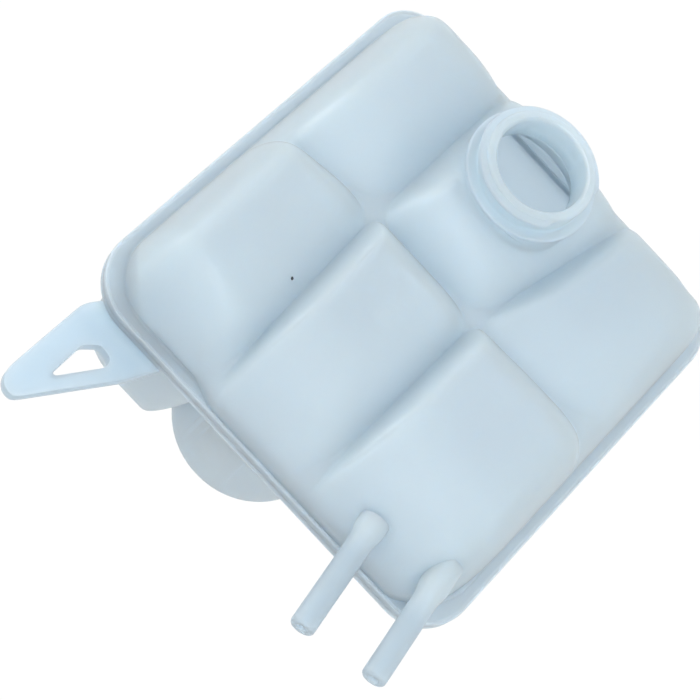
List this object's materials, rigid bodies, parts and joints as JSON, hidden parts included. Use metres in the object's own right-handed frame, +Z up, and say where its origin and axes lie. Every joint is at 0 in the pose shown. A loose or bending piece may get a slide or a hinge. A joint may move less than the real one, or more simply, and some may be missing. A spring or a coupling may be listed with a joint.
{
  "type": "coolant expansion tank",
  "caption": "Translucent moulded coolant expansion tank: cushioned halves welded at a flange, threaded filler neck, two vent nipples, round sump with an outlet and a triangular mounting lug.",
  "frame": {"origin": "in the window of the mounting lug, half way through the lug's thickness", "axes": "+Z up, square to the weld flange and along the filler neck; +Y from the hose nipples' side to the far side; +X from the lug's corner along the width"},
  "size_m": [0.2, 0.2628, 0.162],
  "materials": {
    "tank_plastic": "translucent natural, faint blue, soft gloss"
  },
  "bodies": {
    "root": {"upper_shell": "tank_plastic", "lower_shell": "tank_plastic"}
  },
  "joints": []
}
